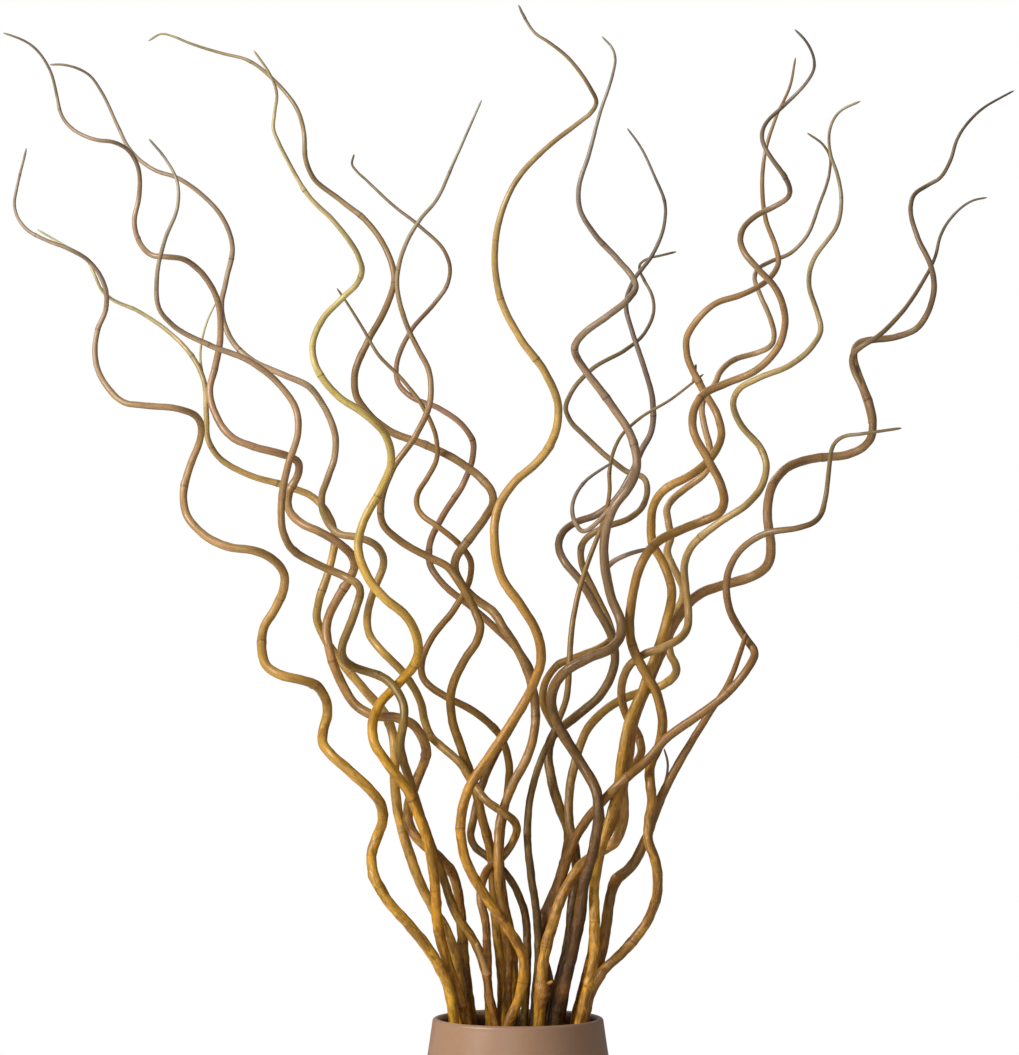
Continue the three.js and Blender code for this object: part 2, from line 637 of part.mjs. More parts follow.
// A closed six-sided tube along a route, with flat ends.
function tubeSolid(route) {
  const fine = route.map((point) => ({ place: openFan(point), radius: point.radius }));
  const rings = chooseRings(fine);
  const last = rings.length - 1;
  const positions = [...rings[0].place.toArray()];
  const triangles = [];
  let across = new THREE.Vector3(1, 0, 0);
  rings.forEach((ring, index) => {
    const before = rings[Math.max(0, index - 1)].place;
    const after = rings[Math.min(last, index + 1)].place;
    const along = after.clone().sub(before).normalize();
    across = across.clone().addScaledVector(along, -across.dot(along)).normalize();
    const up = along.clone().cross(across);
    for (let side = 0; side < TUBE_SIDES; side += 1) {
      const angle = (side / TUBE_SIDES) * Math.PI * 2;
      const point = ring.place
        .clone()
        .addScaledVector(across, Math.cos(angle) * ring.radius)
        .addScaledVector(up, Math.sin(angle) * ring.radius);
      positions.push(...point.toArray());
    }
  });
  positions.push(...rings[last].place.toArray());
  const tipCentre = 1 + rings.length * TUBE_SIDES;
  for (let side = 0; side < TUBE_SIDES; side += 1) {
    const next = (side + 1) % TUBE_SIDES;
    triangles.push(0, 1 + next, 1 + side);
    for (let ring = 0; ring < last; ring += 1) {
      const low = 1 + ring * TUBE_SIDES;
      const high = low + TUBE_SIDES;
      triangles.push(low + side, low + next, high + next);
      triangles.push(low + side, high + next, high + side);
    }
    const top = 1 + last * TUBE_SIDES;
    triangles.push(tipCentre, top + side, top + next);
  }
  const mesh = new wasm.Mesh({
    numProp: 3,
    vertProperties: new Float32Array(positions),
    triVerts: new Uint32Array(triangles),
  });
  return new wasm.Manifold(mesh);
}

function geometryOf(solid) {
  const mesh = solid.getMesh();
  const geometry = new THREE.BufferGeometry();
  geometry.setAttribute('position', new THREE.BufferAttribute(new Float32Array(mesh.vertProperties), 3));
  geometry.setIndex(new THREE.BufferAttribute(new Uint32Array(mesh.triVerts), 1));
  geometry.computeVertexNormals();
  return geometry;
}

function namedMesh(name, geometry, finish) {
  const material = new THREE.MeshStandardMaterial({ ...finish, metalness: 0 });
  const mesh = new THREE.Mesh(geometry, material);
  mesh.name = name;
  return mesh;
}

function buildStems() {
  const lines = STEMS.map((stem, index) => ({ stem, index, route: stemRoute(stem) }));
  STEMS.forEach((stem, parent) => {
    for (const twig of stem.twigs ?? []) {
      const { route, fork } = twigRoute(twig, lines[parent].route);
      lines.push({ stem, index: lines.length, route, fork, parent });
    }
  });
  spreadStems(lines);
  return STEMS.map((stem) => {
    const parts = lines.filter((line) => line.stem === stem).map((line) => tubeSolid(line.route));
    const solid = parts.reduce((whole, part) => whole.add(part));
    return namedMesh(stem.name, geometryOf(solid), BARK[stem.bark]);
  });
}

const bouquet = new THREE.Group();
bouquet.name = 'willow_stems';
bouquet.add(buildVase(), ...buildStems());

export default bouquet;
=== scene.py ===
"""Curly willow stems standing loose in a tapered ceramic vase.

Metres, +Z up. The vase stands on z = 0 round the Z axis and the stems fan out along X.
"""

import json

import bpy
import numpy as np
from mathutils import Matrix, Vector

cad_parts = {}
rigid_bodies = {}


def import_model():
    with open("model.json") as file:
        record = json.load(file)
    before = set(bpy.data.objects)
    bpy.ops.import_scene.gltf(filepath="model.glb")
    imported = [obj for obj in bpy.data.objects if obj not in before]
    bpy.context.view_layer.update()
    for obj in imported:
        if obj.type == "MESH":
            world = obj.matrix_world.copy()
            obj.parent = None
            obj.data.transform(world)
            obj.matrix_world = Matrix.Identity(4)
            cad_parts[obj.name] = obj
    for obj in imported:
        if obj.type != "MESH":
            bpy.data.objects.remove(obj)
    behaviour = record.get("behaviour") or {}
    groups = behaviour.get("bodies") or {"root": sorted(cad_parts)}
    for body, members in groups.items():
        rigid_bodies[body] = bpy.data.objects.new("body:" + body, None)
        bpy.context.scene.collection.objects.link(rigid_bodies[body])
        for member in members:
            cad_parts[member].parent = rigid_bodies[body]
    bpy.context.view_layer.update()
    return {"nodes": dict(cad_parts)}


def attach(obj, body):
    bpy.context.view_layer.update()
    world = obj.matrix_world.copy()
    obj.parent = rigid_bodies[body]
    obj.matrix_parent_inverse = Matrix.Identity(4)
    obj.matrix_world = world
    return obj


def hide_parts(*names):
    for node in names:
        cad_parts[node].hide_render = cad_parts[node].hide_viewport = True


for leftover in list(bpy.data.objects):
    bpy.data.objects.remove(leftover)
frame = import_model()
scene = bpy.context.scene
scene.view_settings.view_transform = "Standard"


# ---------------------------------------------------------------- camera
# A long lens stands level with the middle of the bouquet, square to the fan of stems.
# The view takes in every tip and ends just under the rim of the vase.
CAMERA_PLACE = (-0.0072, -3.9, 0.6815)
SENSOR_WIDTH = 36.0
VIEW_HEIGHT = 0.8968

eye = bpy.data.cameras.new("eye")
eye.sensor_width = SENSOR_WIDTH
eye.lens = SENSOR_WIDTH * -CAMERA_PLACE[1] / VIEW_HEIGHT
eye.clip_end = 60.0
camera = bpy.data.objects.new("camera", eye)
camera.location = CAMERA_PLACE
camera.rotation_euler = (np.pi / 2, 0.0, 0.0)
scene.collection.objects.link(camera)
scene.camera = camera


# ---------------------------------------------------------------- studio
# A white room gives an even fill. One broad soft lamp stands high at the front left, a weaker
# one fills from the front, and a third from behind puts a thin edge on the stems.
ROOM_SEEN = 1.0
ROOM_LIGHT = 0.20


def links_of(tree):
    """A short way to join two sockets of one node tree: (from, to)."""
    return lambda source, target: tree.links.new(source, target)


def lamp(name, place, target, size, power, colour):
    """A square area lamp at place that faces target."""
    light = bpy.data.lights.new(name, "AREA")
    light.size = size
    light.energy = power
    light.color = colour
    holder = bpy.data.objects.new(name, light)
    holder.location = place
    aim = Vector(target) - Vector(place)
    holder.rotation_euler = aim.to_track_quat("-Z", "Y").to_euler()
    scene.collection.objects.link(holder)


room = bpy.data.worlds.new("room")
room.use_nodes = True
scene.world = room
room_tree = room.node_tree
room_tree.nodes.clear()
join = links_of(room_tree)
room_out = room_tree.nodes.new("ShaderNodeOutputWorld")
seen = room_tree.nodes.new("ShaderNodeBackground")
seen.inputs["Color"].default_value = (1.0, 1.0, 1.0, 1.0)
seen.inputs["Strength"].default_value = ROOM_SEEN
fill = room_tree.nodes.new("ShaderNodeBackground")
fill.inputs["Color"].default_value = (1.0, 0.985, 0.96, 1.0)
fill.inputs["Strength"].default_value = ROOM_LIGHT
ray = room_tree.nodes.new("ShaderNodeLightPath")
either = room_tree.nodes.new("ShaderNodeMixShader")
join(ray.outputs["Is Camera Ray"], either.inputs[0])
join(fill.outputs[0], either.inputs[1])
join(seen.outputs[0], either.inputs[2])
join(either.outputs[0], room_out.inputs["Surface"])

lamp("key", (-2.5, -1.8, 1.9), (0.0, 0.0, 0.62), 1.2, 106.0, (1.0, 0.97, 0.92))
lamp("front", (-0.7, -3.4, 1.5), (0.0, 0.0, 0.6), 1.5, 16.0, (1.0, 0.98, 0.95))
lamp("edge", (-0.8, 2.0, 2.6), (0.0, 0.0, 0.7), 1.2, 14.0, (1.0, 0.98, 0.95))

FLOOR_RADIUS = 1.6
FLOOR_COLUMNS = 96
FLOOR_UNDERSIDE = -0.02
FLOOR_TOP = -0.0002
FLOOR_BUMP = 0.0002


def linear(red, green, blue):
    """A colour of three display values from 0 to 255, as the light values that a shader takes."""
    share = np.array([red, green, blue]) / 255.0
    light = np.where(share <= 0.04045, share / 12.92, ((share + 0.055) / 1.055) ** 2.4)
    return (*light.tolist(), 1.0)


class Finish:
    """A new node material with its shader, and short calls that add nodes to it."""

    def __init__(self, name, specular):
        self.material = bpy.data.materials.new(name)
        self.material.use_nodes = True
        self.tree = self.material.node_tree
        self.join = links_of(self.tree)
        self.shader = self.tree.nodes["Principled BSDF"]
        self.shader.inputs["Specular IOR Level"].default_value = specular

    def add(self, kind, **settings):
        """One node of that kind, with its properties set."""
        node = self.tree.nodes.new("ShaderNode" + kind)
        for key, value in settings.items():
            setattr(node, key, value)
        return node

    def own(self, attribute):
        """A value or vector that the mesh carries under that name."""
        return self.add("Attribute", attribute_name=attribute)

    def stretched(self, place, scale):
        """A place multiplied by a scale along each of its three axes."""
        mapping = self.add("Mapping")
        mapping.inputs["Scale"].default_value = scale
        self.join(place, mapping.inputs["Vector"])
        return mapping.outputs["Vector"]

    def noise(self, place, scale, detail=3.0, distortion=0.0):
        """Soft noise from 0 to 1 at that many waves per metre."""
        node = self.add("TexNoise")
        node.inputs["Scale"].default_value = scale
        node.inputs["Detail"].default_value = detail
        node.inputs["Distortion"].default_value = distortion
        self.join(place, node.inputs["Vector"])
        return node.outputs["Fac"]

    def between(self, value, low, high, to_low=0.0, to_high=1.0):
        """A value spread from low..high onto to_low..to_high, and held at its ends."""
        node = self.add("MapRange")
        ends = {"From Min": low, "From Max": high, "To Min": to_low, "To Max": to_high}
        for key, number in ends.items():
            node.inputs[key].default_value = number
        self.join(value, node.inputs["Value"])
        return node.outputs["Result"]

    def ramp(self, value, stops):
        """A colour read along stops of (place from 0 to 1, colour)."""
        node = self.add("ValToRGB")
        band = node.color_ramp
        while len(band.elements) < len(stops):
            band.elements.new(0.5)
        for element, (place, colour) in zip(band.elements, stops):
            element.position = place
            element.color = colour
        self.join(value, node.inputs["Fac"])
        return node.outputs["Color"]

    def mixed(self, factor, first, second, blend="MIX"):
        """Two colours mixed by a factor; either may be a fixed colour."""
        node = self.add("Mix", data_type="RGBA", blend_type=blend)
        for socket, source in ((0, factor), (6, first), (7, second)):
            if isinstance(source, (tuple, float)):
                node.inputs[socket].default_value = source
            else:
                self.join(source, node.inputs[socket])
        return node.outputs[2]

    def sum(self, *shares):
        """The sum of values, each times its own weight: (value, weight)."""
        total = None
        for value, weight in shares:
            node = self.add("Math", operation="MULTIPLY_ADD")
            self.join(value, node.inputs[0])
            node.inputs[1].default_value = weight
            node.inputs[2].default_value = 0.0
            if total is not None:
                self.join(total, node.inputs[2])
            total = node.outputs[0]
        return total

    def times(self, first, second):
        """The product of two values."""
        node = self.add("Math", operation="MULTIPLY")
        self.join(first, node.inputs[0])
        self.join(second, node.inputs[1])
        return node.outputs[0]

    def finished(self, colour, roughness, height, depth):
        """Joins the colour, the roughness and a bump of that depth in metres to the shader."""
        bump = self.add("Bump")
        bump.inputs["Strength"].default_value = 1.0
        bump.inputs["Distance"].default_value = depth
        self.join(height, bump.inputs["Height"])
        self.join(colour, self.shader.inputs["Base Color"])
        self.join(roughness, self.shader.inputs["Roughness"])
        self.join(bump.outputs["Normal"], self.shader.inputs["Normal"])
        return self.material


def surface(name, corners, faces, material, values):
    """A smooth mesh object at the origin from an array of corners and lists of faces. Values are
    arrays, one number or one vector per corner, that its material reads by name."""
    mesh = bpy.data.meshes.new(name)
    mesh.from_pydata(corners, [], faces)
    mesh.polygons.foreach_set("use_smooth", [True] * len(mesh.polygons))
    mesh.materials.append(material)
    for key, numbers in values.items():
        is_vector = numbers.ndim == 2
        store = mesh.attributes.new(key, "FLOAT_VECTOR" if is_vector else "FLOAT", "POINT")
        store.data.foreach_set("vector" if is_vector else "value", numbers.ravel())
    mesh.update()
    piece = bpy.data.objects.new(name, mesh)
    scene.collection.objects.link(piece)
    return piece


def ring_faces(rows, columns):
    """Four-sided faces between neighbouring rings of corners that are numbered row by row."""
    row, column = np.meshgrid(np.arange(rows - 1), np.arange(columns), indexing="ij")
    beside = (column + 1) % columns
    here, above = row * columns, (row + 1) * columns
    quads = np.stack([here + column, here + beside, above + beside, above + column], axis=-1)
    return quads.reshape(-1, 4).tolist()


def end_faces(ring, middle, outward):
    """A fan of triangles that closes a ring of corner numbers on its middle corner."""
    beside = np.roll(ring, -1)
    fan = np.stack([ring, beside, np.full(len(ring), middle)], axis=-1)
    return (fan if outward else fan[:, ::-1]).tolist()


def turned(name, profile, columns, material, **values):
    """A closed surface turned round the Z axis: x is the radius times the cosine of the angle, y
    the radius times its sine, and z the height of each profile point. The first and last points
    lie on the axis and close the surface. Values hold one number for each profile point."""
    angle = np.linspace(0.0, 2.0 * np.pi, columns, endpoint=False)
    radius, height = np.array(profile)[1:-1].T
    rings = np.stack(
        [
            radius[:, None] * np.cos(angle),
            radius[:, None] * np.sin(angle),
            np.repeat(height[:, None], columns, axis=1),
        ],
        axis=-1,
    ).reshape(-1, 3)
    first_pole, last_pole = len(rings), len(rings) + 1
    corners = np.vstack([rings, [0.0, 0.0, profile[0][1]], [0.0, 0.0, profile[-1][1]]])
    faces = ring_faces(len(radius), columns)
    faces += end_faces(np.arange(columns), first_pole, outward=False)
    faces += end_faces(np.arange(len(rings) - columns, len(rings)), last_pole, outward=True)
    spread = {
        key: np.concatenate([np.repeat(row[1:-1], columns), row[:1], row[-1:]])
        for key, row in values.items()
    }
    return surface(name, corners, faces, material, spread)


plaster = Finish("floor_plaster", 0.2)
plaster_place = plaster.add("TexCoord").outputs["Object"]
plaster_cloud = plaster.noise(plaster_place, 3.0)
plaster_grain = plaster.noise(plaster_place, 420.0)
floor_material = plaster.finished(
    plaster.ramp(plaster_cloud, [(0.3, linear(232, 230, 226)), (0.7, linear(240, 239, 236))]),
    plaster.between(plaster_grain, 0.3, 0.7, 0.75, 0.88),
    plaster_grain,
    FLOOR_BUMP,
)
floor_profile = [
    (0.0, FLOOR_UNDERSIDE),
    (FLOOR_RADIUS, FLOOR_UNDERSIDE),
    (FLOOR_RADIUS, FLOOR_TOP),
    (0.0, FLOOR_TOP),
]
floor = turned("floor", floor_profile, FLOOR_COLUMNS, floor_material)


# ---------------------------------------------------------------- vase
# A tapered pot with a soft belly, slip-cast in matte taupe clay. Its lip is rounded and its foot
# is a bare ring round a shallow recess. It stands on the floor and only its rim holds the stems.
VASE_HEIGHT = 0.265
VASE_SIDE = [
    (0.065, 0.005), (0.081, 0.030), (0.091, 0.075), (0.091, 0.120),
    (0.084, 0.190), (0.0752, 0.245), (0.0728, 0.262),
]
WALL_THICKNESS = 0.0062
LIP_RADIUS = 0.003
FOOT_RADIUS = 0.060
RECESS_RADIUS = 0.050
RECESS_DEPTH = 0.0022
RECESS_SLOPE = 0.002
VASE_FLOOR = 0.009
VASE_FLOOR_RADIUS = 0.056
INSIDE_CURVE_END = 0.012
VASE_COLUMNS = 160
SIDE_ROWS = 90
# depth below the lip over which the painted shade inside the pot comes in
INSIDE_PAINTED_SHADE_DEPTH = 0.008
LIP_ROWS = 14
LIP_END_ANGLE = 0.1
CLAY_BUMP = 0.00012


def smooth_path(points, where=None, count=None):
    """A smooth curve through points, read at distances along their chords. The slope at a point
    is the mean of its two chords' directions, each weighted by the other's length. Each stretch
    is the cubic that meets both of its ends with those slopes."""
    points = np.asarray(points, dtype=float)
    step = np.linalg.norm(np.diff(points, axis=0), axis=1)
    along = np.concatenate([[0.0], np.cumsum(step)])
    chord = np.diff(points, axis=0) / step[:, None]
    before, after = step[:-1, None], step[1:, None]
    between = (chord[:-1] * after + chord[1:] * before) / (before + after)
    slope = np.vstack([chord[:1], between, chord[-1:]])
    if where is None:
        where = np.linspace(0.0, along[-1], count)
    part = np.clip(np.searchsorted(along, where, side="right") - 1, 0, len(step) - 1)
    span = step[part][:, None]
    t = ((where - along[part]) / step[part])[:, None]
    return (
        points[part] * (1 + 2 * t) * (1 - t) ** 2
        + slope[part] * span * t * (1 - t) ** 2
        + points[part + 1] * t**2 * (3 - 2 * t)
        + slope[part + 1] * span * t**2 * (t - 1)
    )


vase_outside = smooth_path(VASE_SIDE, count=SIDE_ROWS)
lip_middle = vase_outside[-1] * (1.0, 0.0) + (-LIP_RADIUS, VASE_HEIGHT - LIP_RADIUS)
lip_angle = np.linspace(LIP_END_ANGLE, np.pi - LIP_END_ANGLE, LIP_ROWS)[:, None]
vase_lip = lip_middle + LIP_RADIUS * np.hstack([np.cos(lip_angle), np.sin(lip_angle)])
vase_inside = vase_outside[:0:-1] - (WALL_THICKNESS, 0.0)
vase_foot = [
    (0.0, RECESS_DEPTH),
    (RECESS_RADIUS - RECESS_SLOPE, RECESS_DEPTH),
    (RECESS_RADIUS, 0.0),
    (FOOT_RADIUS, 0.0),
]
vase_profile = np.vstack(
    [
        vase_foot,
        vase_outside,
        vase_lip,
        vase_inside[vase_inside[:, 1] > INSIDE_CURVE_END],
        [(VASE_FLOOR_RADIUS, VASE_FLOOR), (0.0, VASE_FLOOR)],
    ]
)

# Painted shade: the inside wall turns dark brown over the first few millimetres below the lip and
# stays dark down to the floor of the pot, standing in for the shade inside it.
inside_rows = np.arange(len(vase_profile)) > np.argmax(vase_profile[:, 1])
vase_inside_painted_shade = inside_rows * np.clip((VASE_HEIGHT - vase_profile[:, 1]) / INSIDE_PAINTED_SHADE_DEPTH, 0.0, 1.0)

clay = Finish("vase_clay_matte", 0.5)
clay_place = clay.add("TexCoord").outputs["Object"]
clay_cloud = clay.noise(clay_place, 14.0, 4.0)
clay_speck = clay.noise(clay_place, 900.0, 2.0)
clay_grain = clay.noise(clay_place, 2400.0, 3.0)
clay_turns = clay.noise(clay.stretched(clay_place, (2.0, 2.0, 260.0)), 1.0, 2.0)
clay_tone = clay.ramp(clay_cloud, [(0.3, linear(154, 119, 94)), (0.7, linear(163, 127, 101))])
for share, tint in (
    (clay.between(clay_speck, 0.66, 0.78, 0.0, 0.35), linear(128, 96, 80)),
    (clay.between(clay_grain, 0.35, 0.65, 0.0, 0.12), linear(196, 164, 142)),
    # painted shade: the inside of the pot darkened to dark brown
    (clay.own("shade").outputs["Fac"], linear(74, 54, 42)),
):
    clay_tone = clay.mixed(share, clay_tone, tint)
vase_material = clay.finished(
    clay_tone,
    clay.between(clay_cloud, 0.3, 0.7, 0.30, 0.36),
    clay.sum((clay_grain, 0.5), (clay_turns, 0.5)),
    CLAY_BUMP,
)
vase = turned("vase_body", vase_profile, VASE_COLUMNS, vase_material, shade=vase_inside_painted_shade)
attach(vase, "root")
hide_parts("vase")


# ---------------------------------------------------------------- stems
# Rods of curly willow, cut square at the foot and left to dry in their bark. Each one stands in
# the vase, leans on its rim and winds upward in loose corkscrews to a fine tip. The bark is
# smooth and slightly glossy: golden low down, greyer and thinner towards the tip.
CAD_SIDES = 6
SIDES = 14
STEP = 0.0022
LEAST_ROW_GAP = 0.00025

# ends: the rounded tip, the bevelled cut, and the flare where a twig leaves its stem
TIP_LENGTH = 0.006
TIP_ROWS = np.array([0.6, 0.3, 0.12, 0.03])
TIP_ROUNDING = 2.2
CUT_BEVEL = 0.0006
CUT_SHRINK = 0.12
STUB_SHRINK = 0.1
TWIG_FLARE = 0.55
TWIG_FLARE_LENGTH = 0.005

# joints: gap between them, rows of corners around each, a swelling, a ring and a bud
JOINT_GAP = (0.040, 0.105)
JOINT_ROWS = np.array(
    [-0.005, -0.003, -0.0016, -0.0008, -0.0002, 0.0003, 0.0008, 0.0016, 0.0026, 0.0038, 0.005]
)
SWELLING_LENGTH = 0.0045
SWELLING_HEIGHT = 0.07
RING_WIDTH = 0.0006
RING_HEIGHT = 0.00013
BUD_TURN = 2.4
BUD_PLACE = 0.0022
BUD_LENGTH = 0.0030
BUD_WIDTH = 0.0011
BUD_HEIGHT = 0.22

# lumps: length of the wave, times it turns round the rod, height as a share of the radius
LUMPS = [
    (0.021, 1, 0.016),
    (0.013, 2, 0.012),
    (0.034, 3, 0.012),
    (0.0085, 1, 0.009),
    (0.052, 2, 0.018),
]
LUMP_DRIFT = 1.5
LUMP_DRIFT_WAVES = 31.0
LOW_LUMPS = 2.2
LOW_REACH = 0.25

# knots: a fold across them, a thin ring at both ends, and how fast their colour comes
KNOT_RING = 0.6
KNOT_RING_WIDTH = 0.0005
KNOT_FOLD = 0.22
KNOT_FOLD_WAVES = 1900.0
KNOT_BACK = 0.25
KNOT_COLOUR = 3.0

# stubs: places along them, how far they bow, how they taper, and how pale their sides are
STUB_REACH = np.array([0.0, 0.4, 0.75, 1.0])
STUB_BOW = np.array([0.0, 0.0006, 0.0004, 0.0])
STUB_TAPER = np.array([1.4, 1.15, 1.0, 0.8])
STUB_PALE_SIDE = 0.45

# knots: height, the way they face, how far they stand out as a share of the radius, half length
KNOTS = {
    "stem_left_1": [
        (0.306, (0.2, -1.0, 0.0), 0.20, 0.005),
        (0.352, (-1.0, -0.4, 0.0), 0.08, 0.003),
        (0.386, (-1.0, -0.4, 0.0), 0.12, 0.003),
    ],
    "stem_left_3": [(0.392, (0.3, -1.0, 0.0), 0.30, 0.006)],
    "stem_left_4": [(0.304, (-0.6, -1.0, 0.0), 0.25, 0.005)],
    "stem_left_6": [
        (0.275, (-0.3, -1.0, 0.0), 0.12, 0.004),
        (0.336, (-0.3, -1.0, 0.0), 0.16, 0.004),
        (0.362, (0.6, -1.0, 0.0), 0.14, 0.003),
    ],
    "stem_mid_3": [
        (0.352, (-0.5, -1.0, 0.0), 0.16, 0.004),
        (0.846, (0.0, -1.0, 0.0), 0.05, 0.002),
    ],
    "stem_mid_4": [(0.290, (0.8, -1.0, 0.0), 0.40, 0.008)],
    "stem_mid_5": [
        (0.296, (-0.2, -1.0, 0.0), 0.35, 0.007),
        (0.345, (-1.0, -0.5, 0.0), 0.20, 0.004),
    ],
    "stem_right_1": [(0.300, (0.5, -1.0, 0.0), 0.28, 0.006)],
    "stem_right_5": [
        (0.285, (1.0, -0.7, 0.0), 0.85, 0.010),
        (0.330, (-0.8, -0.6, 0.0), 0.20, 0.005),
    ],
    "stem_right_7": [(0.379, (-0.3, -1.0, 0.3), 0.42, 0.006)],
}

# stubs of broken side shoots: height, the way they point, length, radius, how fresh the break is
STUBS = {
    "stem_left_4": [(0.303, (-0.32, -0.30, 0.90), 0.026, 0.0021, 1.0)],
    "stem_right_5": [(0.291, (0.86, -0.20, 0.48), 0.0075, 0.0015, 0.1)],
    "stem_right_7": [(0.381, (-0.4, -0.8, 0.5), 0.0022, 0.0020, 0.7)],
    "stem_mid_7": [(0.806, (0.1, -0.2, 0.97), 0.014, 0.0011, 0.3)],
}

# colours of the bark at the rim, a third of the way up, two thirds up and at the tip
STEMS = {
    "stem_left_1": [(210, 157, 38), (194, 148, 66), (180, 144, 100), (172, 152, 136)],
    "stem_left_2": [(202, 152, 58), (212, 168, 84), (196, 158, 94), (212, 206, 160)],
    "stem_left_3": [(166, 118, 26), (184, 138, 80), (184, 146, 112), (164, 144, 120)],
    "stem_left_4": [(148, 96, 24), (194, 154, 76), (188, 160, 128), (154, 132, 112)],
    "stem_left_5": [(164, 116, 24), (146, 116, 48), (180, 140, 98), (168, 160, 138)],
    "stem_left_6": [(202, 140, 24), (212, 160, 52), (212, 190, 112), (200, 180, 142)],
    "stem_left_7": [(168, 116, 24), (172, 132, 78), (164, 130, 88), (172, 156, 116)],
    "stem_left_8": [(132, 100, 36), (152, 108, 48), (184, 142, 112), (140, 120, 92)],
    "stem_mid_1": [(168, 120, 24), (156, 114, 42), (180, 140, 92), (166, 158, 136)],
    "stem_mid_2": [(192, 136, 24), (156, 116, 50), (176, 132, 74), (144, 124, 88)],
    "stem_mid_3": [(202, 140, 24), (184, 132, 52), (210, 172, 100), (140, 122, 96)],
    "stem_mid_4": [(96, 62, 24), (140, 104, 56), (178, 148, 120), (156, 148, 136)],
    "stem_mid_5": [(148, 100, 24), (148, 114, 60), (146, 120, 100), (134, 120, 106)],
    "stem_mid_6": [(104, 64, 24), (176, 132, 60), (164, 136, 94), (136, 116, 92)],
    "stem_mid_7": [(92, 64, 24), (144, 110, 52), (160, 124, 68), (152, 128, 96)],
    "stem_right_1": [(184, 132, 48), (182, 134, 60), (180, 140, 90), (128, 120, 108)],
    "stem_right_2": [(208, 148, 36), (210, 160, 64), (192, 148, 94), (170, 140, 106)],
    "stem_right_3": [(98, 64, 24), (196, 156, 76), (208, 168, 122), (148, 130, 102)],
    "stem_right_4": [(212, 148, 38), (174, 134, 74), (200, 172, 112), (172, 156, 128)],
    "stem_right_5": [(206, 150, 46), (196, 148, 92), (168, 132, 92), (126, 114, 96)],
    "stem_right_6": [(120, 76, 24), (152, 108, 44), (160, 120, 80), (150, 132, 94)],
    "stem_right_7": [(188, 124, 32), (136, 100, 40), (164, 120, 64), (150, 104, 56)],
}


def welded(node):
    """A CAD stem's corners, merged where they share a place, and the neighbours of each."""
    mesh = frame["nodes"][node].data
    places = np.empty(len(mesh.vertices) * 3)
    mesh.vertices.foreach_get("co", places)
    loops = np.empty(len(mesh.loops), dtype=int)
    mesh.loops.foreach_get("vertex_index", loops)
    corners, index = np.unique(np.round(places.reshape(-1, 3), 6), axis=0, return_inverse=True)
    near = [set() for _ in corners]
    for triangle in index.ravel()[loops].reshape(-1, 3).tolist():
        for corner in triangle:
            near[corner].update(triangle)
    for corner, others in enumerate(near):
        others.discard(corner)
    return corners, near


def groups_of(front, near):
    """Corners of one front, split into groups that are joined by edges."""
    groups, left = [], set(front)
    while left:
        group, edge = set(), {left.pop()}
        while edge:
            group |= edge
            edge = set().union(*(near[corner] for corner in edge)) & left
            left -= edge
        groups.append(sorted(group))
    return groups


def rings_from(cap, corners, near, through_forks):
    """Middles and radii of the rings of corners met on the way from an end cap. At a fork the
    way either ends, or goes on along the ring nearest to where the last ones point."""
    middles, radii = [], []
    visited, front = {cap}, {cap}
    skipped = 0
    while front:
        front = set().union(*(near[corner] for corner in front)) - visited
        visited |= front
        whole = [group for group in groups_of(front, near) if len(group) == CAD_SIDES]
        if len(whole) != 1 and not through_forks:
            break
        skipped += 1
        if not whole:
            continue
        aim = middles[-1] if middles else corners[cap]
        if len(middles) > 1:
            aim = aim + (middles[-1] - middles[-2]) * skipped
        middle, group = min(
            ((corners[group].mean(axis=0), group) for group in whole),
            key=lambda found: np.linalg.norm(found[0] - aim),
        )
        middles.append(middle)
        radii.append(np.linalg.norm(corners[group] - middle, axis=1).mean())
        skipped = 0
    return np.array(middles), np.array(radii)


def branches_of(node):
    """Middle lines and radii of a CAD stem: first the stem from foot to tip, then its twigs,
    each from the middle of the stem outwards."""
    corners, near = welded(node)
    caps = [
        corner
        for corner, others in enumerate(near)
        if len(others) == CAD_SIDES and all(len(near[other]) == CAD_SIDES - 1 for other in others)
    ]
    foot = min(caps, key=lambda cap: corners[cap][2])
    stem = rings_from(foot, corners, near, through_forks=True)
    tips = [cap for cap in caps if cap != foot]
    tips.remove(min(tips, key=lambda cap: np.linalg.norm(corners[cap] - stem[0][-1])))
    branches = [stem]
    for tip in tips:
        middles, radii = rings_from(tip, corners, near, through_forks=False)
        middles, radii = middles[::-1], radii[::-1]
        back = middles[0] - (middles[1] - middles[0]) * 0.5
        start = stem[0][np.linalg.norm(stem[0] - back, axis=1).argmin()]
        branches.append((np.vstack([start, middles]), np.concatenate([radii[:1], radii])))
    return branches


def frames_along(path):
    """Forward, side and up directions along a path that turn as little as they can. A fixed side
    is laid across the path, then turned back by the twist that it gathers on the way."""
    forward = np.gradient(path, axis=0)
    forward /= np.linalg.norm(forward, axis=1)[:, None]
    side = np.cross(forward, (0.12, 1.0, 0.07))
    side /= np.linalg.norm(side, axis=1)[:, None]
    up = np.cross(forward, side)
    ahead = forward[:-1] + forward[1:]
    lean = (side[:-1] * forward[1:]).sum(axis=1) / (1.0 + (forward[:-1] * forward[1:]).sum(axis=1))
    carried = side[:-1] - lean[:, None] * ahead
    twist = np.arctan2((carried * up[1:]).sum(axis=1), (carried * side[1:]).sum(axis=1))
    turn = np.concatenate([[0.0], np.cumsum(twist)])[:, None]
    return forward, side * np.cos(turn) + up * np.sin(turn), up * np.cos(turn) - side * np.sin(turn)


def joints_for(length, chance):
    """Places of the joints along a rod: uneven gaps from near its foot to near its tip."""
    gaps = chance.uniform(*JOINT_GAP, int(length / JOINT_GAP[0]) + 1)
    places = np.cumsum(gaps)
    return places[places < length - 2 * TIP_LENGTH]


